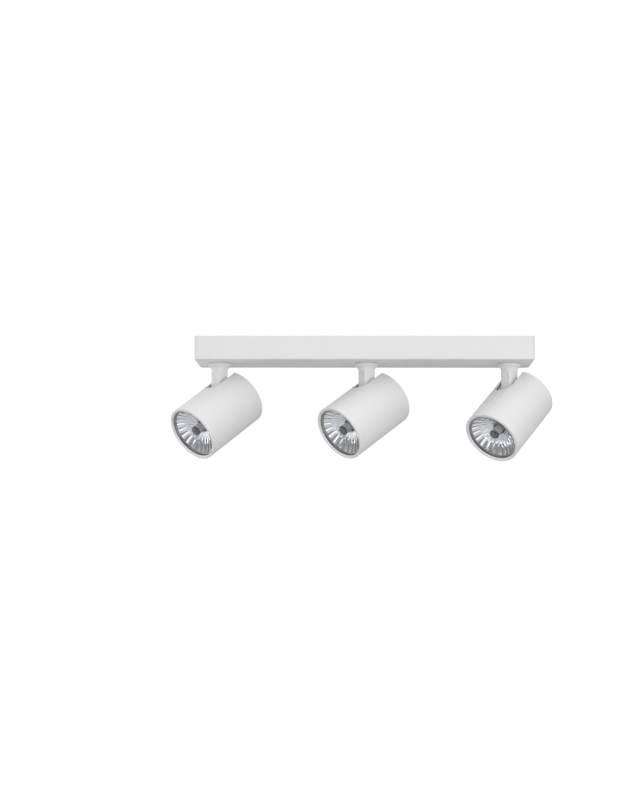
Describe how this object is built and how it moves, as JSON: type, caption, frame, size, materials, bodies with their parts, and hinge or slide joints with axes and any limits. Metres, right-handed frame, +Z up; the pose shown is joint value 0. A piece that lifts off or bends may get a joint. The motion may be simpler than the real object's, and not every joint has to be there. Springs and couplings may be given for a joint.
{
  "type": "ceiling spotlight bar",
  "caption": "White ceiling light bar: a slim closed housing with cylindrical spot heads that swivel and tilt on short square arms, each with a mirrored reflector lamp",
  "frame": {"origin": "centre of the ceiling plane, on the upper face of the fixing strip", "axes": "+X along the bar, to the right as seen from the front; +Y from the front face to the back; +Z up into the ceiling"},
  "size_m": [0.3691, 0.0869, 0.118],
  "materials": {
    "white_paint": "matte white powder coat",
    "white_cap": "matte white powder coat",
    "white_ring": "smooth white paint",
    "zinc_steel": "bright zinc plate",
    "spring_steel": "dark spring steel",
    "brass_parts": "plain brass",
    "black_rubber": "soft black rubber",
    "clear_white_plastic": "moulded",
    "white_nylon": "moulded nylon",
    "lead_sleeve": "woven glass sleeve",
    "earth_sleeve": "green and yellow insulation",
    "holder_ceramic": "unglazed white ceramic",
    "base_ceramic": "unglazed white ceramic",
    "mirror_coat": "aluminised facets on glass",
    "front_glass": "clear, polished",
    "quartz": "clear quartz"
  },
  "bodies": {
    "bar": {"housing": "white_paint", "ceiling_bracket": "zinc_steel", "housing_screws": "zinc_steel", "cable_grommet": "black_rubber", "terminal_block": "clear_white_plastic", "terminal_screws": "zinc_steel", "earth_screw": "brass_parts", "earth_lead": "earth_sleeve", "lamp_leads": "lead_sleeve", "stem_bushes": "white_nylon"},
    "arm_1": {"swivel_arm_1": "white_paint", "stem_tube_1": "zinc_steel", "stem_nut_1": "zinc_steel", "stem_washers_1": "spring_steel"},
    "head_1": {"spot_shell_1": "white_paint", "rear_cap_1": "white_cap", "hinge_bracket_1": "white_paint", "tilt_bolt_1": "zinc_steel", "tilt_washers_1": "white_nylon", "lamp_holder_1": "holder_ceramic", "head_screws_1": "zinc_steel", "front_ring_1": "white_ring", "lamp_reflector_1": "mirror_coat", "lamp_glass_1": "front_glass", "lamp_burner_1": "quartz", "lamp_base_1": "base_ceramic"},
    "arm_2": {"swivel_arm_2": "white_paint", "stem_tube_2": "zinc_steel", "stem_nut_2": "zinc_steel", "stem_washers_2": "spring_steel"},
    "head_2": {"spot_shell_2": "white_paint", "rear_cap_2": "white_cap", "hinge_bracket_2": "white_paint", "tilt_bolt_2": "zinc_steel", "tilt_washers_2": "white_nylon", "lamp_holder_2": "holder_ceramic", "head_screws_2": "zinc_steel", "front_ring_2": "white_ring", "lamp_reflector_2": "mirror_coat", "lamp_glass_2": "front_glass", "lamp_burner_2": "quartz", "lamp_base_2": "base_ceramic"},
    "arm_3": {"swivel_arm_3": "white_paint", "stem_tube_3": "zinc_steel", "stem_nut_3": "zinc_steel", "stem_washers_3": "spring_steel"},
    "head_3": {"spot_shell_3": "white_paint", "rear_cap_3": "white_cap", "hinge_bracket_3": "white_paint", "tilt_bolt_3": "zinc_steel", "tilt_washers_3": "white_nylon", "lamp_holder_3": "holder_ceramic", "head_screws_3": "zinc_steel", "front_ring_3": "white_ring", "lamp_reflector_3": "mirror_coat", "lamp_glass_3": "front_glass", "lamp_burner_3": "quartz", "lamp_base_3": "base_ceramic"}
  },
  "joints": [
    {"name": "swivel_1", "type": "hinge", "parent": "bar", "child": "arm_1", "pos_m": [-0.1405, 0, -0.023], "axis": [0, 0, 1], "range_deg": [-127, 223]},
    {"name": "tilt_1", "type": "hinge", "parent": "arm_1", "child": "head_1", "pos_m": [-0.1405, 0, -0.0504], "axis": [0.6691, -0.7431, 0], "range_deg": [-35, 55]},
    {"name": "swivel_2", "type": "hinge", "parent": "bar", "child": "arm_2", "pos_m": [0.0025, 0, -0.023], "axis": [0, 0, 1], "range_deg": [-123, 227]},
    {"name": "tilt_2", "type": "hinge", "parent": "arm_2", "child": "head_2", "pos_m": [0.0025, 0, -0.0504], "axis": [0.6157, -0.788, 0], "range_deg": [-33.5, 56.5]},
    {"name": "swivel_3", "type": "hinge", "parent": "bar", "child": "arm_3", "pos_m": [0.1405, 0, -0.023], "axis": [0, 0, 1], "range_deg": [-130, 220]},
    {"name": "tilt_3", "type": "hinge", "parent": "arm_3", "child": "head_3", "pos_m": [0.1405, 0, -0.0504], "axis": [0.7071, -0.7071, 0], "range_deg": [-41, 49]}
  ]
}
